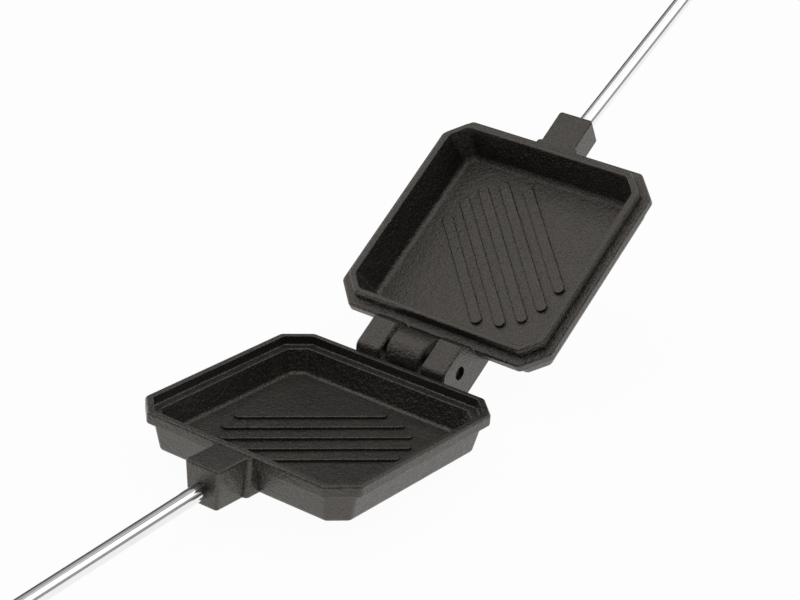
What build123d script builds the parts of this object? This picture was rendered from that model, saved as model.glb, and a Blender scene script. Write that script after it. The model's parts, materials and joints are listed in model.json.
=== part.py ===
from build123d import *
from math import asin, atan2, cos, degrees, hypot, radians, sin, sqrt, tan
import os

# A hinged cast-iron pie iron, standing open on its stop. Millimetres.
#
# The pieces are drawn shut in a plate frame: X along the hinge pin, Y from the handles
# towards the hinge with 0 at the hinge edge of the rims, Z up with 0 at the lower lip.
# The upper half is then swung open, and the whole iron is pitched and set on Z = 0.

# ---------------------------------------------------------------- plates
plate_width = 110.7        # X, over the flanges
plate_length = 107.0       # Y, over the flanges
corner_length = 10.5       # leg of the cut corners, 45 degrees
corner_rounding = 3.0      # upright edges of the flange and body
lower_flange = 5.2         # thickness
upper_flange = 4.4
flange_overhang = 3.0      # flange beyond the body next to it
flange_edge = 0.7          # rounding of the flange's edge on the body's side
body_draft = 13.0          # degrees, outside of the body
back_rounding = 2.4        # edge between the body's side and its back
lower_depth = 18.9         # lip to underside
upper_depth = 14.5         # ledge to back
lower_floor = 4.3          # iron under the cavity
upper_floor = 2.4
parting_gap = 0.3          # between the two rims when shut

# ---------------------------------------------------------------- rims
lip_width = 3.2            # raised lip round the lower rim
lip_shoulder = 1.2         # rounding of the rims' outer edge
lip_edge = 0.4             # rounding of the lip's inner edge
recess_depth = 4.2         # lip down to the ledge inside it
recess_fillet = 0.8        # at the foot of the lip
recess_corner = 1.5        # upright corners of the lip's inner face
tongue_gap = 0.3           # beside and under the upper rim's tongue
tongue_taper = 0.4         # the tongue's outside leans in by this over its height
tongue_setback = 1.0       # the tongue stands further in along the hinge edge
tongue_edge = 0.9          # rounding of the tongue's outer edge
tongue_root = 1.0          # drawn into the rim
side_rim = 6.9             # flange edge to the cavity's mouth, at the two sides
hinge_rim = 7.4            # the same, at the hinge edge
handle_rim = 6.4           # the same, at the handle edge
cavity_edge = 0.5          # rounding of the cavity's mouth
cavity_draft = 16.0        # degrees
lower_cove = 1.8           # fillet between wall and floor
upper_cove = 2.9
cavity_corner_extra = 0.5  # upright corners of the cavity are this much rounder than its cove

# ---------------------------------------------------------------- sear ribs
rib_count = 5
rib_width = 5.0
rib_height = 1.2
rib_pitch = 9.5
rib_length = 80.0          # of a rib through the plate's middle
rib_shortening = 4.0       # times the square of a rib's place from the middle
rib_edge = 0.5
rib_root = 0.5             # drawn into the floor
rib_angle = 45.0           # degrees from X

# ---------------------------------------------------------------- handle bosses
boss_width = 17.4          # at its rim
boss_length = 18.5         # beyond the flange
boss_foot = 0.5            # from the plate's back to the boss's
boss_draft = 3.5           # degrees, its sides and end
lower_boss_drop = 0.7      # boss face from its rim
upper_boss_drop = 0.2
boss_rounding = 1.5        # upright edges of the end
boss_edge = 1.0            # edges round the two flat faces
boss_flare = 2.0           # radius where it joins the flange

# ---------------------------------------------------------------- hinge
axis_setback = 12.3        # hinge axis beyond the rim's edge
axis_rise = -0.3           # hinge axis above the lower lip
open_angle = 143.2         # degrees, shut to the open stop
pin_diameter = 6.0
pin_running_gap = 0.08     # radial, in the lower knuckle
pin_seat_gap = 0.02        # radial, in the upper ears
pin_recess = 1.7           # pin end below the ear's outer face
pin_bevel = 0.5
knuckle_width = 17.7
knuckle_radius = 10.8
knuckle_edge = 0.8         # bevel of the knuckle's outline
web_top = 2.6              # below the lip
web_foot = 1.8             # above the underside
web_root = 1.0             # iron between the web's or an ear's root and the cavity's mouth
ear_gap = 2.05             # between knuckle and ear
ear_width = 12.4
ear_front = 9.5            # axis to the ear's front face
ear_back = 14.5            # axis to the ear's back face
ear_reach = 9.7            # axis to the ear's far face
ear_corner = 0.8           # rounding of the corner that the iron stands on
ear_toe = 3.6              # rounding between the front face and the stop face
ear_edge = 0.7             # bevel of the ear's outline
stop_gap = 0.4             # ear to rim at the open stop
stop_depth = 3.8           # the ear's stop face reaches this far below the lip
swing_gap = 0.3            # ear to rim while it swings

# ---------------------------------------------------------------- rods
rod_diameter = 7.0
neck_diameter = 6.0        # threaded ends
neck_gap = 0.05            # radial, neck in the boss
neck_depth = 14.0          # neck inside the boss
neck_bare = 1.9            # neck that shows in front of the rod
hole_spare = 1.0           # tapped hole beyond the neck
rod_bevel = 0.5            # of its threaded ends
shoulder_bevel = 0.4
lower_rod_drop = 11.5      # rod axis from the lip, at the boss's end
upper_rod_rise = 9.6
lower_splay = 5.4          # degrees away from the rim plane
upper_splay = 7.6
rod_length = 600.0         # boss to the back of the grip
shoulder_set = 2.0         # rod's shoulder inside the back of the grip

# ---------------------------------------------------------------- grips
grip_length = 140.0
grip_front_diameter = 20.0
grip_belly_diameter = 30.0
grip_rear_diameter = 27.0
grip_belly_place = 84.0    # from the front of the grip
grip_end_rounding = 6.0
grip_bore_gap = 0.2        # radial, round the rod
ferrule_length = 14.0
ferrule_wall = 1.0
ferrule_rounding = 2.5     # of its front edge; its inside keeps the wall's thickness
ferrule_gap = 0.1          # round the grip's nose and the rod
washer_diameter = 14.0
washer_thickness = 1.6
washer_bevel = 0.3
washer_gap = 0.2           # radial, round the threaded end
nut_flats = 10.0
nut_height = 5.0           # of the hexagon
nut_dome_radius = 4.7
nut_bevel = 0.6
nut_gap = 0.05             # radial, round the threaded end
tail_length = 6.5          # threaded end behind the washer
tail_spare = 0.3           # nut's bore beyond the threaded end

# ---------------------------------------------------------------- derived
corner_share = 1 - sqrt(0.5)          # of two insets, off the leg of a cut corner
boss_end = -plate_length - boss_length
hinge_line = Axis((0, axis_setback, axis_rise), (1, 0, 0))
ear_inside = knuckle_width / 2 + ear_gap
ear_outside = ear_inside + ear_width
cavity_rim = (side_rim, hinge_rim, handle_rim)
lip_rim = (lip_width,) * 3
lower_floor_z = lower_floor - lower_depth
upper_floor_z = upper_floor - upper_depth
tongue_height = recess_depth + parting_gap - tongue_gap
tongue_side = lip_width + tongue_gap
tongue_rim = (tongue_side, tongue_side + tongue_setback, tongue_side)
grip_start = rod_length - grip_length
nut_corner = nut_flats / sqrt(3)      # a hexagon's corner, from its axis
on_base = (Align.CENTER, Align.CENTER, Align.MIN)


def inset_by(insets, extra):
    """The same insets, each drawn further in."""
    return tuple(inset + extra for inset in insets)


def outline(z, insets):
    """Plate outline at height z, drawn in at its sides, hinge edge and handle edge."""
    side, hinge, handle = insets
    half = plate_width / 2 - side
    back, front = -hinge, handle - plate_length
    back_cut = corner_length - corner_share * (side + hinge)
    front_cut = corner_length - corner_share * (side + handle)
    right = [
        (half - front_cut, front),
        (half, front + front_cut),
        (half, back - back_cut),
        (half - back_cut, back),
    ]
    left = [(-x, y) for x, y in reversed(right)]
    return Plane.XY.offset(z) * make_face(Polyline(*right, *left, close=True))


def tapered(low, low_insets, high, high_insets):
    """Solid between two plate outlines at two heights."""
    return loft([outline(low, low_insets), outline(high, high_insets)], ruled=True)


def climbing(solid):
    """Edges that climb the sides."""
    height = solid.bounding_box().size.Z
    return solid.edges().filter_by(lambda edge: abs((edge @ 1).Z - (edge @ 0).Z) > height / 2)


def round_corners(solid, radius):
    """Round the eight edges that climb a plate's sides."""
    return fillet(climbing(solid), radius)


def round_loop(solid, z, insets, radius, reach):
    """Round the edges at height z that run along a plate outline, within a reach of it."""
    loop = outline(z, insets).wire()
    level = solid.edges().filter_by_position(Axis.Z, z - reach, z + reach)
    return fillet([edge for edge in level if loop.distance_to(edge @ 0.5) < reach], radius)


# A plate is drawn face up, with the plane of its rim at Z = 0.


def flange(height):
    """Flange below the rim plane."""
    plate = tapered(-height, (0, 0, 0), 0, (0, 0, 0))
    plate = round_corners(plate, corner_rounding)
    plate = fillet(plate.edges().group_by(Axis.Z)[-1], lip_shoulder)
    return fillet(plate.edges().group_by(Axis.Z)[0], flange_edge)


def body(depth, height):
    """Drafted body from the flange of that height down to the plate's back."""
    top = (flange_overhang,) * 3
    back = inset_by(top, (depth - height) * tan(radians(body_draft)))
    block = round_corners(tapered(-depth, back, -height, top), corner_rounding)
    return fillet(block.edges().group_by(Axis.Z)[0], back_rounding)


def boss_outline(z, inset):
    """Outline of a boss at height z, back into the plate's wall, its sides and end drawn in."""
    half = boss_width / 2 - inset
    end = boss_end + inset
    root = handle_rim - plate_length
    flare_start = -plate_length - boss_flare
    side = [
        Line((half, end), (half, flare_start)),
        RadiusArc((half, flare_start), (half + boss_flare, -plate_length), -boss_flare),
        Line((half + boss_flare, -plate_length), (half + boss_flare, root)),
    ]
    other = [mirror(piece, about=Plane.YZ) for piece in side]
    ends = [Line((-half, end), (half, end)), Line((-half - boss_flare, root), (half + boss_flare, root))]
    return Plane.XY.offset(z) * make_face(side + other + ends)


def boss(depth, drop):
    """Handle boss, drafted from its face near the rim to its foot near the plate's back."""
    foot = boss_foot - depth
    inset = (-drop - foot) * tan(radians(boss_draft))
    block = loft([boss_outline(foot, inset), boss_outline(-drop, 0)], ruled=True)
    block = fillet(climbing(block).group_by(Axis.Y)[0], boss_rounding)
    levels = block.edges().group_by(Axis.Z)
    root = handle_rim - plate_length
    shown = [edge for edge in levels[0] + levels[-1] if (edge @ 0.5).Y < root - boss_edge]
    return fillet(shown, boss_edge)


def cavity(mouth, floor, cove):
    """Tool for the hollow, as wide at its mouth as the rim leaves it."""
    slope = tan(radians(cavity_draft))
    above = max(mouth, 0) + cavity_edge
    top = inset_by(cavity_rim, (mouth - above) * slope)
    bottom = inset_by(cavity_rim, (mouth - floor) * slope)
    hollow = round_corners(tapered(floor, bottom, above, top), cove + cavity_corner_extra)
    return fillet(hollow.edges().group_by(Axis.Z)[0], cove)


def recess():
    """Tool for the step inside the lower lip."""
    step = round_corners(tapered(-recess_depth, lip_rim, lip_edge, lip_rim), recess_corner)
    return fillet(step.edges().group_by(Axis.Z)[0], recess_fillet)


def tongue():
    """Tongue of the upper rim, before the cavity is cut through it."""
    top = inset_by(tongue_rim, tongue_taper)
    ring = round_corners(tapered(-tongue_root, tongue_rim, tongue_height, top), corner_rounding)
    return fillet(ring.edges().group_by(Axis.Z)[-1], tongue_edge)


def sear_ribs(floor):
    """Raised ribs with round ends, along the diagonal of a floor at this height."""
    bars = Part()
    for place in range(rib_count):
        offset = place - (rib_count - 1) / 2
        length = rib_length - rib_shortening * offset**2
        bar = extrude(SlotOverall(length, rib_width), amount=rib_height + rib_root)
        bar = fillet(bar.edges().group_by(Axis.Z)[-1], rib_edge)
        bars += Pos(0, offset * rib_pitch, 0) * bar
    middle = (handle_rim - hinge_rim - plate_length) / 2
    return Pos(0, middle, floor - rib_root) * Rot(0, 0, rib_angle) * bars


def rod_line(start_z, splay):
    """Place of a rod: from the boss's end outwards, leaning away from the rim plane."""
    lean = radians(splay) if start_z > 0 else -radians(splay)
    outwards = (0, -cos(lean), sin(lean))
    return Plane((0, boss_end, start_z), x_dir=(1, 0, 0), z_dir=outwards).location


def neck_hole():
    """Tool for the tapped hole in a boss, along its rod's line."""
    depth = neck_depth + hole_spare
    drill = Cylinder(neck_diameter / 2 + neck_gap, depth + neck_bare, align=on_base)
    return Pos(0, 0, -depth) * drill


lower_rod_line = rod_line(-lower_rod_drop, lower_splay)
upper_rod_line = rod_line(parting_gap + upper_rod_rise, upper_splay)


def across(profile, start, width, bevel):
    """Hinge piece from its outline in Y and Z about the hinge axis, with bevelled edges."""
    face = Plane.YZ.offset(start) * Pos(axis_setback, axis_rise) * profile
    block = extrude(face, amount=width)
    sides = block.faces().sort_by(Axis.X)
    return chamfer(sides[0].edges() + sides[-1].edges(), bevel)


def pin_bore(gap):
    """Tool for the hinge hole."""
    length = 2 * (ear_outside + pin_recess)
    return Pos(0, axis_setback, axis_rise) * Rot(0, 90, 0) * Cylinder(pin_diameter / 2 + gap, length)


def knuckle():
    """Middle barrel of the hinge, on the web that joins it to the lower plate."""
    root = web_root - hinge_rim - axis_setback
    top = -web_top - axis_rise
    foot = web_foot - lower_depth - axis_rise
    wall = -flange_overhang - axis_setback
    web = Polyline((root, top), (0, top), (0, -knuckle_radius), (wall, foot), (root, foot), close=True)
    profile = make_face(web) + Circle(knuckle_radius)
    return across(profile, -knuckle_width / 2, knuckle_width, knuckle_edge)


def ear_tip():
    """Where the ear's stop face ends, shut, about the hinge axis."""
    turn = radians(open_angle)
    stop = axis_setback - stop_gap
    stop_end = stop_depth + axis_rise
    return stop_end * sin(turn) - stop * cos(turn), -stop_end * cos(turn) - stop * sin(turn)


def ear_profile():
    """Outline of an ear, shut, about the hinge axis.

    The slanted face is the open stop: opened, it stands upright along the lower rim's edge.
    What swings past that edge reaches no further from the axis than the rim allows.
    """
    turn = radians(open_angle)
    stop = axis_setback - stop_gap
    root = web_root - hinge_rim - axis_setback
    ledge = parting_gap - axis_rise
    points = [
        (root, ear_back),
        (ear_reach, ear_back),
        ear_tip(),
        ((sin(turn) * ear_front - stop) / cos(turn), -ear_front),
        (-axis_setback, -ear_front),
        (-axis_setback, ledge),
        (root, ledge),
    ]
    whole = make_face(Polyline(*points, close=True))
    whole = fillet(whole.vertices().sort_by_distance(points[1])[0], ear_corner)
    whole = fillet(whole.vertices().sort_by_distance(points[3])[0], ear_toe)
    far = 2 * axis_setback
    passing = [(-far, ledge), (0, ledge), (-far * cos(turn), -far * sin(turn)), (far, -far), (-far, -far)]
    passing = make_face(Polyline(*passing, close=True))
    return whole - (passing - Circle(axis_setback - swing_gap))


def lower_plate():
    """Lower casting: lipped rim, cavity, handle boss and hinge knuckle."""
    iron = flange(lower_flange) + body(lower_depth, lower_flange) + boss(lower_depth, lower_boss_drop) + knuckle()
    iron -= recess() + cavity(-recess_depth, lower_floor_z, lower_cove)
    iron = round_loop(iron, 0, lip_rim, lip_edge, lip_edge)
    iron = round_loop(iron, -recess_depth, cavity_rim, cavity_edge, cavity_edge)
    iron += sear_ribs(lower_floor_z)
    return iron - lower_rod_line * neck_hole() - pin_bore(pin_running_gap)


def upper_plate():
    """Upper casting, shut: tongued rim, cavity, handle boss and two hinge ears."""
    iron = flange(upper_flange) + body(upper_depth, upper_flange) + boss(upper_depth, upper_boss_drop) + tongue()
    iron -= cavity(tongue_height, upper_floor_z, upper_cove)
    iron = round_loop(iron, tongue_height, cavity_rim, cavity_edge, cavity_edge)
    iron += sear_ribs(upper_floor_z)
    iron = Pos(0, 0, parting_gap) * mirror(iron, about=Plane.XY)
    for start in (ear_inside, -ear_outside):
        iron += across(ear_profile(), start, ear_width, ear_edge)
    return iron - upper_rod_line * neck_hole() - pin_bore(pin_seat_gap)


def hinge_pin():
    """Pin pressed into the ears, with its ends below their faces."""
    pin = Cylinder(pin_diameter / 2, 2 * (ear_outside - pin_recess))
    pin = chamfer(pin.edges().filter_by(GeomType.CIRCLE), pin_bevel)
    return Pos(0, axis_setback, axis_rise) * Rot(0, 90, 0) * pin


# The handle pieces are drawn along +Z, from the boss's end at Z = 0.


def rod():
    """Rod with a threaded neck at the boss and a threaded tail behind the grip."""
    shaft = Cylinder(rod_diameter / 2, rod_length - shoulder_set - neck_bare, align=on_base)
    shaft = chamfer(shaft.edges().filter_by(GeomType.CIRCLE), shoulder_bevel)
    threads = neck_depth + rod_length + washer_thickness + tail_length
    core = Cylinder(neck_diameter / 2, threads, align=on_base)
    core = chamfer(core.edges().filter_by(GeomType.CIRCLE), rod_bevel)
    return Pos(0, 0, neck_bare) * shaft + Pos(0, 0, -neck_depth) * core


def ferrule():
    """Pressed cup over the grip's nose, with a hole for the rod."""
    outer = Cylinder(grip_front_diameter / 2, ferrule_length, align=on_base)
    outer = fillet(outer.edges().filter_by(GeomType.CIRCLE).sort_by(Axis.Z)[0], ferrule_rounding)
    inner = nose(ferrule_gap)
    hole = Cylinder(rod_diameter / 2 + ferrule_gap, ferrule_length, align=on_base)
    start = grip_start - ferrule_wall - ferrule_gap
    return Pos(0, 0, start) * (outer - hole) - Pos(0, 0, grip_start) * inner


def nose(growth):
    """Front end of the grip, or the space for it, inside the ferrule."""
    radius = grip_front_diameter / 2 - ferrule_wall - ferrule_gap + growth
    length = ferrule_length - ferrule_wall - ferrule_gap
    block = Pos(0, 0, -growth) * Cylinder(radius, length + 2 * growth, align=on_base)
    edge = block.edges().filter_by(GeomType.CIRCLE).sort_by(Axis.Z)[0]
    return fillet(edge, ferrule_rounding - ferrule_wall - ferrule_gap + growth)


def grip():
    """Turned wooden grip: a nose for the ferrule, then a swelling handle."""
    step = ferrule_length - ferrule_wall - ferrule_gap
    front = (grip_front_diameter / 2, step)
    belly = (grip_belly_diameter / 2, grip_belly_place)
    rear = (grip_rear_diameter / 2, grip_length)
    swell = ((front[0] + belly[0]) / 2, (front[1] + belly[1]) / 2)
    sides = [
        Line((0, step), front),
        TangentArc(front, swell, tangent=(0, 1)),
        TangentArc(belly, swell, tangent=(0, -1)),
        TangentArc(belly, rear, tangent=(0, 1)),
        Line(rear, (0, grip_length)),
        Line((0, grip_length), (0, step)),
    ]
    wood = revolve(Plane.XZ * make_face(sides), Axis.Z)
    wood = fillet(wood.edges().group_by(Axis.Z)[-1], grip_end_rounding)
    wood = wood + nose(0)
    bore = Cylinder(rod_diameter / 2 + grip_bore_gap, grip_length, align=on_base)
    return Pos(0, 0, grip_start) * (wood - bore)


def washer():
    """Flat washer behind the grip."""
    disc = Cylinder(washer_diameter / 2, washer_thickness, align=on_base)
    disc = chamfer(disc.edges().filter_by(GeomType.CIRCLE), washer_bevel)
    disc -= Cylinder(neck_diameter / 2 + washer_gap, washer_thickness, align=on_base)
    return Pos(0, 0, rod_length) * disc


def cap_nut():
    """Domed nut on the rod's threaded tail."""
    turned = Cylinder(nut_corner, nut_height, align=on_base)
    turned = chamfer(turned.edges().filter_by(GeomType.CIRCLE), nut_bevel)
    hexagon = extrude(RegularPolygon(nut_corner, 6), amount=nut_height)
    dome = Pos(0, 0, nut_height) * Sphere(nut_dome_radius)
    bore = Cylinder(neck_diameter / 2 + nut_gap, tail_length + tail_spare, align=on_base)
    return Pos(0, 0, rod_length + washer_thickness) * ((hexagon & turned) + dome - bore)


def handle(side, line):
    """The five pieces of one handle, each under its own name."""
    pieces = {"rod": rod(), "ferrule": ferrule(), "grip": grip(), "washer": washer(), "end_nut": cap_nut()}
    return {side + "_" + name: line * piece for name, piece in pieces.items()}


def level_pitch(y, z, rounding):
    """Degrees of lean that bring a rounded edge and the lower grip's belly to one level."""
    along = grip_start + grip_belly_place
    grip_y = boss_end - along * cos(radians(lower_splay))
    grip_z = -lower_rod_drop - along * sin(radians(lower_splay))
    climb = asin((grip_belly_diameter / 2 - rounding) / hypot(y - grip_y, z - grip_z))
    return degrees(climb - atan2(grip_z - z, y - grip_y))


def resting_pitch():
    """Lean of the iron on the ground: on its grip and the ears, or the plate if that is lower."""
    turn = radians(-open_angle)
    tip_out, tip_up = ear_tip()
    lean = atan2(tip_out - ear_reach, ear_back - tip_up)
    out = ear_reach - ear_corner * (1 - sin(lean)) / cos(lean)
    up = ear_back - ear_corner
    ear_y = axis_setback + out * cos(turn) - up * sin(turn)
    ear_z = axis_rise + out * sin(turn) + up * cos(turn)
    slant = radians(body_draft)
    edge_in = flange_overhang + (lower_depth - lower_flange) * tan(slant)
    edge_y = -edge_in - back_rounding * (1 - sin(slant)) / cos(slant)
    edge_z = back_rounding - lower_depth
    return min(level_pitch(ear_y, ear_z, ear_corner), level_pitch(edge_y, edge_z, back_rounding))


def pie_iron():
    """Every piece in its place, open, by name."""
    lower = {"lower_plate": lower_plate()} | handle("lower", lower_rod_line)
    upper = {"upper_plate": upper_plate(), "hinge_pin": hinge_pin()} | handle("upper", upper_rod_line)
    upper = {name: piece.rotate(hinge_line, -open_angle) for name, piece in upper.items()}
    pitched = Rot(-resting_pitch(), 0, 0)
    pieces = {name: pitched * piece for name, piece in (lower | upper).items()}
    boxes = [piece.bounding_box() for piece in pieces.values()]
    ends = [box.min.Y for box in boxes] + [box.max.Y for box in boxes]
    ground = Pos(0, -(min(ends) + max(ends)) / 2, -min(box.min.Z for box in boxes))
    return {name: ground * piece for name, piece in pieces.items()}, ground * pitched


if __name__ == "__main__":
    os.makedirs("parts", exist_ok=True)
    pieces, placement = pie_iron()
    for name, piece in pieces.items():
        export_step(piece, f"parts/{name}.step")
    print(f"pitch {resting_pitch():.4f} degrees, hinge axis at {placement * Pos(hinge_line.position)}")
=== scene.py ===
import json
import math

import bpy
from mathutils import Matrix, Vector


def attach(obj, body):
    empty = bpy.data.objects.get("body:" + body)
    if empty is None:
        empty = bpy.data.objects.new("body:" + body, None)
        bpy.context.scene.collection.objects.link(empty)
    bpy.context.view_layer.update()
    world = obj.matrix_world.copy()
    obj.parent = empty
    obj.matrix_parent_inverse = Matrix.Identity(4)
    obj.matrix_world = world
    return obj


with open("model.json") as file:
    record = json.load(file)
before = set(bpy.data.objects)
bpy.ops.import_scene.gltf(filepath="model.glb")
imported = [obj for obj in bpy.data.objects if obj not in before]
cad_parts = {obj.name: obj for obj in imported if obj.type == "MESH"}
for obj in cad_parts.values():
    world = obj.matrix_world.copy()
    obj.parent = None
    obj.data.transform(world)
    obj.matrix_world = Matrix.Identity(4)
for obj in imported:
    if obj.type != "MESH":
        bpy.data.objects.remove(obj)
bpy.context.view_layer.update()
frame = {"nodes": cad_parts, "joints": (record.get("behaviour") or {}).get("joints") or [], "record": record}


# ---------------------------------------------------------------- node helpers

def new_tree(name):
    """Material of that name with an empty node tree."""
    made = bpy.data.materials.new(name)
    made.use_nodes = True
    made.node_tree.nodes.clear()
    return made, made.node_tree


def node(tree, kind, inputs=None, **settings):
    """Shader node with its inputs set to values or linked from other sockets."""
    made = tree.nodes.new("ShaderNode" + kind)
    for key, value in settings.items():
        setattr(made, key, value)
    for key, value in (inputs or {}).items():
        if isinstance(value, bpy.types.NodeSocket):
            tree.links.new(value, made.inputs[key])
        else:
            made.inputs[key].default_value = value
    return made


def math_node(tree, operation, first, second):
    return node(tree, "Math", {0: first, 1: second}, operation=operation).outputs[0]


def vector_node(tree, operation, inputs):
    return node(tree, "VectorMath", inputs, operation=operation).outputs[0]


def noise(tree, place, scale, detail, roughness):
    """Noise with about `scale` lumps to a metre of its place."""
    made = node(tree, "TexNoise", {"Vector": place, "Scale": scale, "Detail": detail,
                                   "Roughness": roughness})
    return made.outputs["Fac"]


def spread(tree, value, low, high, to_low=0.0, to_high=1.0):
    """Value mapped from one range to another, clamped."""
    made = node(tree, "MapRange", {"Value": value, "From Min": low, "From Max": high,
                                   "To Min": to_low, "To Max": to_high})
    return made.outputs["Result"]


def blend_colour(tree, share, first, second):
    """Mix of two colours. The colour mix has its share at 0, its colours at 6 and 7, its result at 2."""
    return node(tree, "Mix", {0: share, 6: first, 7: second}, data_type="RGBA").outputs[2]


def bump(tree, height, distance, strength, under=None):
    """Normal bent by a height map that rises `distance` metres, over the normal `under` if given."""
    made = node(tree, "Bump", {"Height": height, "Distance": distance, "Strength": strength})
    if under is not None:
        tree.links.new(under, made.inputs["Normal"])
    return made.outputs["Normal"]


def finish_material(tree, shader):
    node(tree, "OutputMaterial", {"Surface": shader.outputs[0]})


def stretched(tree, place, factors):
    """Texture place scaled by a factor along each axis."""
    return node(tree, "Mapping", {"Vector": place, "Scale": factors}).outputs["Vector"]


# ---------------------------------------------------------------- materials

# slope of each rod's line, rising towards +Y
ROD_LEAN = {"lower": math.radians(0.335), "upper": math.radians(24.135)}


def rod_place(tree, side):
    """Object coordinates with Y along the rod of that side."""
    place = node(tree, "TexCoord").outputs["Object"]
    level = (-ROD_LEAN[side], 0.0, 0.0)
    return node(tree, "Mapping", {"Vector": place, "Rotation": level}).outputs["Vector"]


def cast_iron():
    """Seasoned sand-cast iron: pebbled skin, pale specks painted in as the glints of the sand grains, and
    faint brown stains.
    """
    dark, grey = (0.0075, 0.007, 0.0065, 1), (0.0145, 0.0127, 0.011, 1)
    # brown is a real stain; the second colour on this line is the pale colour of the painted glints on the
    # sand grains
    brown, wear_and_glint = (0.029, 0.019, 0.013, 1), (0.10, 0.092, 0.082, 1)
    made, tree = new_tree("cast_iron_seasoned")
    place = node(tree, "TexCoord").outputs["Object"]
    sand = noise(tree, place, 950, 3, 0.65)
    coarse = noise(tree, place, 420, 2, 0.5)
    swell = noise(tree, place, 75, 2, 0.5)
    patch = noise(tree, place, 28, 3, 0.6)
    colour = blend_colour(tree, spread(tree, patch, 0.35, 0.65), dark, grey)
    stain = spread(tree, noise(tree, place, 55, 4, 0.65), 0.56, 0.74)
    stain = math_node(tree, "MULTIPLY", stain, 0.6)
    colour = blend_colour(tree, stain, colour, brown)
    # painted glints: pale specks scattered at random over the iron's colour, standing in for light caught by
    # the sand grains
    painted_glint_speck = spread(tree, noise(tree, place, 1500, 2, 0.6), 0.61, 0.71)
    painted_glint_speck = math_node(tree, "MULTIPLY", painted_glint_speck, 0.5)
    colour = blend_colour(tree, painted_glint_speck, colour, wear_and_glint)
    rough = math_node(tree, "ADD", spread(tree, sand, 0.3, 0.7, 0.36, 0.20),
                      spread(tree, patch, 0.3, 0.7, -0.03, 0.05))
    normal = bump(tree, swell, 0.0008, 0.5)
    normal = bump(tree, coarse, 0.00045, 0.7, normal)
    normal = bump(tree, sand, 0.0005, 0.9, normal)
    shader = node(tree, "BsdfPrincipled", {"Base Color": colour, "Roughness": rough, "Normal": normal,
                                           "Specular IOR Level": 1.0, "IOR": 1.52,
                                           "Specular Tint": (1.0, 0.92, 0.83, 1)})
    finish_material(tree, shader)
    return made


def dark_steel(name):
    """Oiled dark steel, for the hinge pin and the rods' threaded necks."""
    dark, pale = (0.035, 0.032, 0.03, 1), (0.12, 0.11, 0.10, 1)
    made, tree = new_tree(name)
    place = node(tree, "TexCoord").outputs["Object"]
    turned = noise(tree, stretched(tree, place, (1.0, 6.0, 6.0)), 500, 3, 0.6)
    stain = noise(tree, place, 220, 3, 0.6)
    colour = blend_colour(tree, spread(tree, stain, 0.35, 0.7), dark, pale)
    shader = node(tree, "BsdfPrincipled", {"Base Color": colour, "Metallic": 0.6,
                                           "Roughness": spread(tree, turned, 0.3, 0.7, 0.35, 0.55),
                                           "Normal": bump(tree, turned, 0.00005, 0.5)})
    finish_material(tree, shader)
    return made


def rod_chrome(side):
    """Bright plate with faint lines drawn along the rod and a little haze."""
    hazy, clear = (0.84, 0.84, 0.85, 1), (0.91, 0.91, 0.91, 1)
    made, tree = new_tree(side + "_rod_chrome")
    place = rod_place(tree, side)
    drawn = noise(tree, stretched(tree, place, (900.0, 10.0, 900.0)), 1.0, 3, 0.6)
    haze = noise(tree, place, 60, 3, 0.5)
    colour = blend_colour(tree, spread(tree, haze, 0.3, 0.7), hazy, clear)
    rough = math_node(tree, "ADD", spread(tree, haze, 0.3, 0.7, 0.06, 0.11),
                      spread(tree, drawn, 0.3, 0.7, 0.0, 0.04))
    shader = node(tree, "BsdfPrincipled", {"Base Color": colour, "Metallic": 1.0, "Roughness": rough,
                                           "Normal": bump(tree, drawn, 0.00001, 0.3)})
    finish_material(tree, shader)
    return made


def ferrule_steel(side):
    """Steel brushed round and round, with a few dull marks."""
    bright, dull = (0.60, 0.60, 0.61, 1), (0.44, 0.43, 0.42, 1)
    made, tree = new_tree(side + "_ferrule_brushed")
    place = rod_place(tree, side)
    brushed = noise(tree, stretched(tree, place, (40.0, 5200.0, 40.0)), 1.0, 3, 0.6)
    marks = noise(tree, place, 180, 4, 0.6)
    colour = blend_colour(tree, spread(tree, marks, 0.45, 0.75), bright, dull)
    rough = math_node(tree, "ADD", spread(tree, brushed, 0.3, 0.7, 0.24, 0.36),
                      spread(tree, marks, 0.5, 0.75, 0.0, 0.12))
    shader = node(tree, "BsdfPrincipled", {"Base Color": colour, "Metallic": 1.0, "Roughness": rough,
                                           "Normal": bump(tree, brushed, 0.00002, 0.5)})
    finish_material(tree, shader)
    return made


RING_WANDER = 0.013                     # how far the year rings stray
HEART_OFFSET = (0.021, 0.0, 0.009)      # shifts the rings' centre to one side


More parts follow.
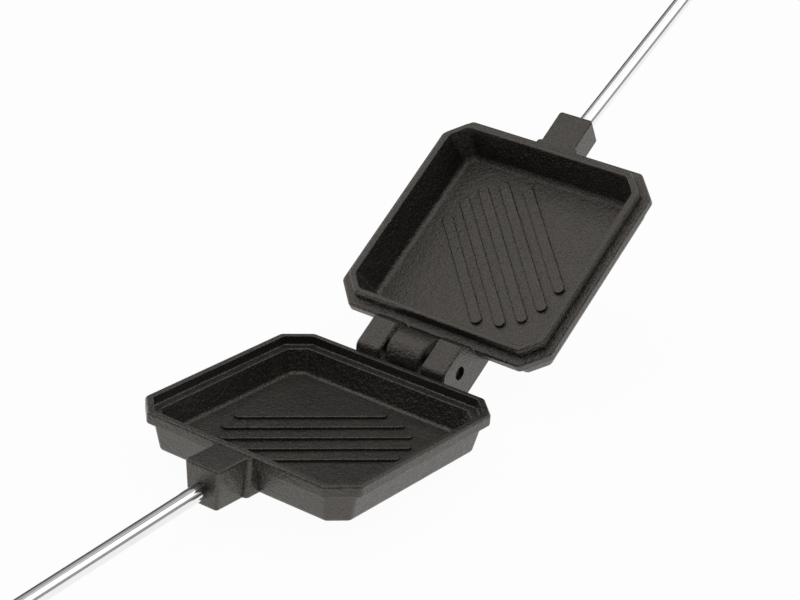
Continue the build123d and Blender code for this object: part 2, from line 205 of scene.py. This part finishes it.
def turned_wood(side):
    """Oiled hardwood: year rings cut by the lathe, fine pores along the grain, darker by the hand."""
    early, late = (0.44, 0.235, 0.108, 1), (0.275, 0.128, 0.054, 1)
    streaked, porous, handled = (0.19, 0.084, 0.036, 1), (0.070, 0.031, 0.015, 1), (0.15, 0.07, 0.034, 1)
    made, tree = new_tree(side + "_turned_wood")
    place = rod_place(tree, side)
    wander = node(tree, "TexNoise", {"Vector": stretched(tree, place, (1.0, 0.18, 1.0)),
                                     "Scale": 42.0, "Detail": 3.0}).outputs["Color"]
    offset = vector_node(tree, "SUBTRACT", {0: wander, 1: (0.5, 0.5, 0.5)})
    offset = vector_node(tree, "SCALE", {0: offset, 3: RING_WANDER})
    bent = vector_node(tree, "ADD", {0: place, 1: offset})
    bent = vector_node(tree, "ADD", {0: bent, 1: HEART_OFFSET})
    rings = node(tree, "TexWave", {"Vector": bent, "Scale": 105.0, "Distortion": 1.4, "Detail": 2.0,
                                   "Detail Scale": 1.5},
                 wave_type="RINGS", rings_direction="Y", wave_profile="SAW")
    pores = noise(tree, stretched(tree, place, (2400.0, 85.0, 2400.0)), 1.0, 3, 0.65)
    streak = noise(tree, stretched(tree, place, (330.0, 9.0, 330.0)), 1.0, 3, 0.6)
    wear_and_glint = noise(tree, place, 26, 3, 0.6)
    colour = blend_colour(tree, rings.outputs["Fac"], early, late)
    colour = blend_colour(tree, spread(tree, streak, 0.42, 0.7, 0.0, 0.7), colour, streaked)
    colour = blend_colour(tree, spread(tree, pores, 0.56, 0.72, 0.0, 0.75), colour, porous)
    colour = blend_colour(tree, spread(tree, wear_and_glint, 0.5, 0.75, 0.0, 0.3), colour, handled)
    rough = math_node(tree, "ADD", spread(tree, pores, 0.4, 0.75, 0.38, 0.62),
                      spread(tree, wear_and_glint, 0.3, 0.7, 0.04, -0.06))
    normal = bump(tree, pores, 0.00012, 0.5)
    shader = node(tree, "BsdfPrincipled", {"Base Color": colour, "Roughness": rough, "Normal": normal,
                                           "Coat Weight": 0.15, "Coat Roughness": 0.35})
    finish_material(tree, shader)
    return made


def plated_steel(name, low, high, smooth, dull):
    """Plated fastener with a cloudy bloom and small scratches."""
    made, tree = new_tree(name)
    place = node(tree, "TexCoord").outputs["Object"]
    bloom = noise(tree, place, 330, 4, 0.6)
    scratch = noise(tree, stretched(tree, place, (1.0, 9.0, 1.0)), 700, 3, 0.6)
    colour = blend_colour(tree, spread(tree, bloom, 0.3, 0.7), low, high)
    rough = math_node(tree, "ADD", spread(tree, bloom, 0.3, 0.7, smooth, dull),
                      spread(tree, scratch, 0.5, 0.7, 0.0, 0.08))
    shader = node(tree, "BsdfPrincipled", {"Base Color": colour, "Metallic": 1.0, "Roughness": rough,
                                           "Normal": bump(tree, scratch, 0.00002, 0.4)})
    finish_material(tree, shader)
    return made


NECK_STEEL = dark_steel("neck_steel_oiled")
SHARED = {
    "cast_iron": cast_iron(),
    "pin_steel": dark_steel("pin_steel_oiled"),
    "washer_steel": plated_steel(
        "washer_zinc", (0.50, 0.50, 0.52, 1), (0.64, 0.64, 0.65, 1), smooth=0.30, dull=0.46),
    "nut_steel": plated_steel(
        "nut_nickel", (0.66, 0.65, 0.62, 1), (0.76, 0.75, 0.72, 1), smooth=0.10, dull=0.22),
}
BY_SIDE = {
    side: {
        "chromed_rod": rod_chrome(side),
        "ferrule_steel": ferrule_steel(side),
        "turned_wood": turned_wood(side),
    }
    for side in ROD_LEAN
}

for piece in frame["nodes"].values():
    finishes = SHARED | BY_SIDE.get(piece.name.split("_")[0], {})
    for slot in piece.material_slots:
        slot.material = finishes[slot.material.name.split(".")[0]]


# ---------------------------------------------------------------- threaded necks

NECK_BARE = 0.0019           # neck that shows between boss and rod
THREAD_PITCH = 0.001
THREAD_ROOT = 0.00302        # radius at the root
THREAD_CREST = 0.00343       # radius at the crest
CREST_HALF = 0.07            # half the crest's width, in pitches
END_GAP = 0.00003            # left between the thread and the boss, and the thread and the rod
RUN_OUT = 0.45               # turns past each end, cut flat there
STEPS = 36                   # per turn
# where each neck leaves its boss, and the way it points from there
NECKS = {
    "lower": ((0.0, -0.1038981, 0.0182005), ROD_LEAN["lower"] + math.pi),
    "upper": ((0.0, 0.156915, 0.0809986), ROD_LEAN["upper"]),
}


def neck_thread(name, start, lean, side):
    """Thread on the bare neck: a helical ridge cut flat at the boss and at the rod."""
    along = Vector((0, math.cos(lean), math.sin(lean)))
    across = Vector((1, 0, 0))
    over = along.cross(across)
    profile = ((THREAD_ROOT, -0.5), (THREAD_CREST, -CREST_HALF),
               (THREAD_CREST, CREST_HALF), (THREAD_ROOT, 0.5))
    turns = NECK_BARE / THREAD_PITCH + 2 * RUN_OUT
    points, faces = [], []
    for step in range(int(turns * STEPS) + 1):
        angle = 2 * math.pi * step / STEPS
        spoke = across * math.cos(angle) + over * math.sin(angle)
        for radius, offset in profile:
            height = THREAD_PITCH * (step / STEPS - RUN_OUT + offset)
            height = min(max(height, END_GAP), NECK_BARE - END_GAP)
            points.append(Vector(start) + spoke * radius + along * height)
        if step:
            now, past = len(points) - 4, len(points) - 8
            for i in range(4):
                after = (i + 1) % 4
                faces.append((past + i, past + after, now + after, now + i))
    faces += [(0, 1, 2, 3), tuple(len(points) - 4 + i for i in (3, 2, 1, 0))]
    mesh = bpy.data.meshes.new(name)
    mesh.from_pydata(points, [], faces)
    mesh.materials.append(NECK_STEEL)
    thread = bpy.data.objects.new(name, mesh)
    bpy.context.scene.collection.objects.link(thread)
    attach(thread, side)


for side, (start, lean) in NECKS.items():
    neck_thread(side + "_neck_thread", start, lean, side)


# ---------------------------------------------------------------- camera

AXIS_SETBACK = 0.0123        # hinge axis behind the lower rim
AXIS_RISE = -0.0003          # hinge axis above the lower lip
SENSOR_WIDTH = 36.0          # millimetres, as is the lens
LENS = 109.92
CLIP_END = 50.0              # metres, past the floor's far corners
# The photograph's view, solved in the lower plate's own frame: the camera's place from the middle of
# the rim at the hinge, and its axes.
FROM_RIM = Vector((0.53507, -0.76192, 0.43733))
RIGHT = Vector((0.79781, 0.59893, 0.06920))
UP = Vector((-0.29202, 0.28345, 0.91344))
AHEAD = Vector((-0.52747, 0.74896, -0.40104))

hinge = Vector(frame["joints"][0]["pos_m"])
down = Vector(frame["record"]["mounts"][0]["axis"])
pitch = Matrix.Rotation(-math.atan2(-down.y, -down.z), 3, "X")
rim_point = hinge - pitch @ Vector((0, AXIS_SETBACK, AXIS_RISE))
turn = pitch @ Matrix((RIGHT.normalized(), UP.normalized(), -AHEAD.normalized())).transposed()

camera_data = bpy.data.cameras.new("camera")
camera_data.sensor_width = SENSOR_WIDTH
camera_data.lens = LENS
camera_data.clip_end = CLIP_END
camera = bpy.data.objects.new("camera", camera_data)
bpy.context.scene.collection.objects.link(camera)
bpy.context.scene.camera = camera
camera.matrix_world = Matrix.Translation(rim_point + pitch @ FROM_RIM) @ turn.to_4x4()


# ---------------------------------------------------------------- light and floor

PANEL_AIM = Vector((0, 0, 0.03))        # the point that the panels face
SKY_FILL = 0.025                        # grey of the world, to all but the camera
PAPER = 0.86                            # grey of the floor
FLOOR_GLOW = 0.96                       # share of plain white in the floor as seen or mirrored
FLOOR_REACH = 30.0                      # metres from the middle to each side
WHITE = (1, 1, 1, 1)
# azimuth from +Y towards +X and elevation in degrees, distance, width and height in metres, radiance
PANELS = {
    "right_back_panel": (42, 46, 2.3, 1.5, 1.5, 1.2),
    "right_back_low_panel": (42, 14, 2.3, 1.7, 1.1, 0.3),
    "back_panel": (355, 15, 2.3, 1.6, 0.9, 1.2),
    "back_top_panel": (358, 48, 2.3, 1.1, 1.5, 0.4),
    "left_panel": (270, 15, 2.2, 1.5, 1.0, 1.8),
    "left_top_panel": (268, 50, 2.2, 1.4, 1.2, 0.95),
    "left_back_panel": (322, 14, 2.3, 1.7, 1.1, 0.07),
    "left_back_top_panel": (315, 48, 2.3, 1.4, 1.4, 0.36),
    "front_panel": (195, 50, 2.2, 1.6, 1.1, 1.05),
    "right_panel": (92, 50, 2.2, 1.3, 1.1, 0.9),
    "top_panel": (0, 90, 2.3, 1.9, 1.9, 1.05),
}


def soft_panel(name, azimuth, elevation, distance, width, height, radiance):
    """Soft light panel that faces the object."""
    around, above = math.radians(azimuth), math.radians(elevation)
    away = Vector((math.sin(around) * math.cos(above),
                   math.cos(around) * math.cos(above),
                   math.sin(above)))
    data = bpy.data.lights.new(name, "AREA")
    data.shape = "RECTANGLE"
    data.size, data.size_y = width, height
    data.energy = radiance * math.pi * width * height
    lamp = bpy.data.objects.new(name, data)
    bpy.context.scene.collection.objects.link(lamp)
    lamp.location = away * distance + PANEL_AIM
    lamp.rotation_mode = "QUATERNION"
    lamp.rotation_quaternion = (-away).to_track_quat("-Z", "Y")


def plain_world():
    """World that is white to the camera and nearly dark to everything else."""
    world = bpy.data.worlds.new("world")
    world.use_nodes = True
    tree = world.node_tree
    tree.nodes.clear()
    ray = node(tree, "LightPath")
    dim = node(tree, "Background", {"Color": (SKY_FILL, SKY_FILL, SKY_FILL, 1), "Strength": 1.0})
    white = node(tree, "Background", {"Color": WHITE, "Strength": 1.0})
    mixed = node(tree, "MixShader", {0: ray.outputs["Is Camera Ray"], 1: dim.outputs[0],
                                     2: white.outputs[0]})
    node(tree, "OutputWorld", {"Surface": mixed.outputs[0]})
    return world


def floor_white():
    """Pale paper, nearly plain white to the camera and in reflections, that keeps the shadow."""
    made, tree = new_tree("floor_white")
    ray = node(tree, "LightPath")
    paper = node(tree, "BsdfDiffuse", {"Color": (PAPER, PAPER, PAPER, 1)})
    glow = node(tree, "Emission", {"Color": WHITE, "Strength": 1.0})
    seen = math_node(tree, "MAXIMUM", ray.outputs["Is Camera Ray"], ray.outputs["Is Glossy Ray"])
    share = math_node(tree, "MULTIPLY", seen, FLOOR_GLOW)
    finish_material(tree, node(tree, "MixShader", {0: share, 1: paper.outputs[0], 2: glow.outputs[0]}))
    return made


for name, values in PANELS.items():
    soft_panel(name, *values)
bpy.context.scene.world = plain_world()

corners = [(FLOOR_REACH * x, FLOOR_REACH * y, 0) for x, y in ((-1, -1), (1, -1), (1, 1), (-1, 1))]
floor_mesh = bpy.data.meshes.new("floor")
floor_mesh.from_pydata(corners, [], [(0, 1, 2, 3)])
floor_mesh.materials.append(floor_white())
floor = bpy.data.objects.new("floor", floor_mesh)
bpy.context.scene.collection.objects.link(floor)

bpy.context.scene.view_settings.view_transform = "Standard"
